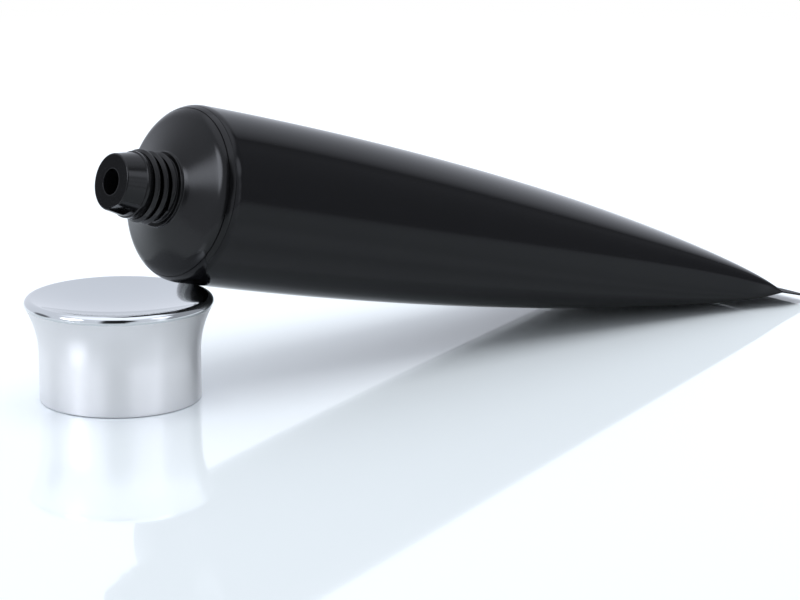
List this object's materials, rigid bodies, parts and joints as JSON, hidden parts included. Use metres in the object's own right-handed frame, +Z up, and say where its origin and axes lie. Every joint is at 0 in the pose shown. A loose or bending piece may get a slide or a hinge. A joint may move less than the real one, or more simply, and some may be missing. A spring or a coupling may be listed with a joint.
{
  "type": "aluminium-plastic squeeze tube with its screw cap",
  "caption": "Round-shouldered laminate squeeze tube going flat to a pressed seal, lying on the flared rim of its taken-off screw cap.",
  "frame": {"origin": "on the surface that the tube and cap lie on, under the middle of the whole", "axes": "+X level along the tube from shoulder to tail, +Y sideways across the tube, +Z up"},
  "size_m": [0.1857, 0.0548, 0.0561],
  "materials": {
    "laminate": "high gloss black laminate",
    "head_plastic": "satin black moulding",
    "plated_shell": "satin plated skirt with a polished, dished top and a polished rim",
    "liner_plastic": "plain white moulding"
  },
  "bodies": {
    "root": {"tube_sleeve": "laminate", "tube_head": "head_plastic", "cap_shell": "plated_shell", "cap_insert": "liner_plastic"}
  },
  "joints": []
}
